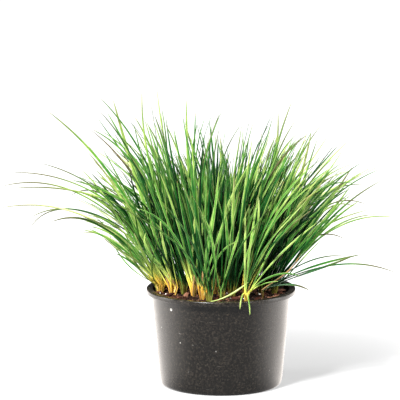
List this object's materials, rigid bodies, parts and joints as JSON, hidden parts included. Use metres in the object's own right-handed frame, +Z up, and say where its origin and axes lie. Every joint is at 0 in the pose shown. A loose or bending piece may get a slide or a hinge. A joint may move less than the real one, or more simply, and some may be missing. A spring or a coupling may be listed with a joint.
{
  "type": "potted dwarf rush",
  "caption": "Dense tuft of narrow sword leaves, grown in flat fans that arch outwards, in a shallow round nursery pot with a flanged rim, filled with potting mix.",
  "frame": {"origin": "middle of the flat foot that the pot stands on", "axes": "+Z up, -Y towards the side that the picture looks at, +X to that side's right"},
  "size_m": [0.438, 0.3634, 0.337],
  "materials": {
    "pot_plastic": "black nursery-pot plastic, half gloss, scuffed",
    "potting_mix": null,
    "leaf_green": null
  },
  "bodies": {
    "root": {"pot": "pot_plastic", "soil": "potting_mix", "leaf_fan_left_low": "leaf_green", "leaf_fan_left_droop": "leaf_green", "leaf_fan_left_long": "leaf_green", "leaf_fan_left_sweep": "leaf_green", "leaf_fan_left_tall": "leaf_green", "leaf_fan_left_crest": "leaf_green", "leaf_fan_middle_left": "leaf_green", "leaf_fan_middle_front": "leaf_green", "leaf_fan_middle": "leaf_green", "leaf_fan_middle_right": "leaf_green", "leaf_fan_right_crest": "leaf_green", "leaf_fan_right_tall": "leaf_green", "leaf_fan_right_sweep": "leaf_green", "leaf_fan_right_long": "leaf_green", "leaf_fan_right_reach": "leaf_green", "leaf_fan_right_low": "leaf_green", "leaf_fan_front_drape": "leaf_green", "leaf_fan_01": "leaf_green", "leaf_fan_02": "leaf_green", "leaf_fan_03": "leaf_green", "leaf_fan_04": "leaf_green", "leaf_fan_05": "leaf_green", "leaf_fan_06": "leaf_green", "leaf_fan_07": "leaf_green", "leaf_fan_08": "leaf_green", "leaf_fan_09": "leaf_green", "leaf_fan_10": "leaf_green", "leaf_fan_11": "leaf_green", "leaf_fan_12": "leaf_green", "leaf_fan_13": "leaf_green", "leaf_fan_14": "leaf_green", "leaf_fan_15": "leaf_green", "leaf_fan_16": "leaf_green", "leaf_fan_17": "leaf_green", "leaf_fan_18": "leaf_green", "leaf_fan_19": "leaf_green", "leaf_fan_20": "leaf_green", "leaf_fan_21": "leaf_green", "leaf_fan_22": "leaf_green", "leaf_fan_23": "leaf_green", "leaf_fan_24": "leaf_green", "leaf_fan_25": "leaf_green", "leaf_fan_26": "leaf_green"}
  },
  "joints": []
}
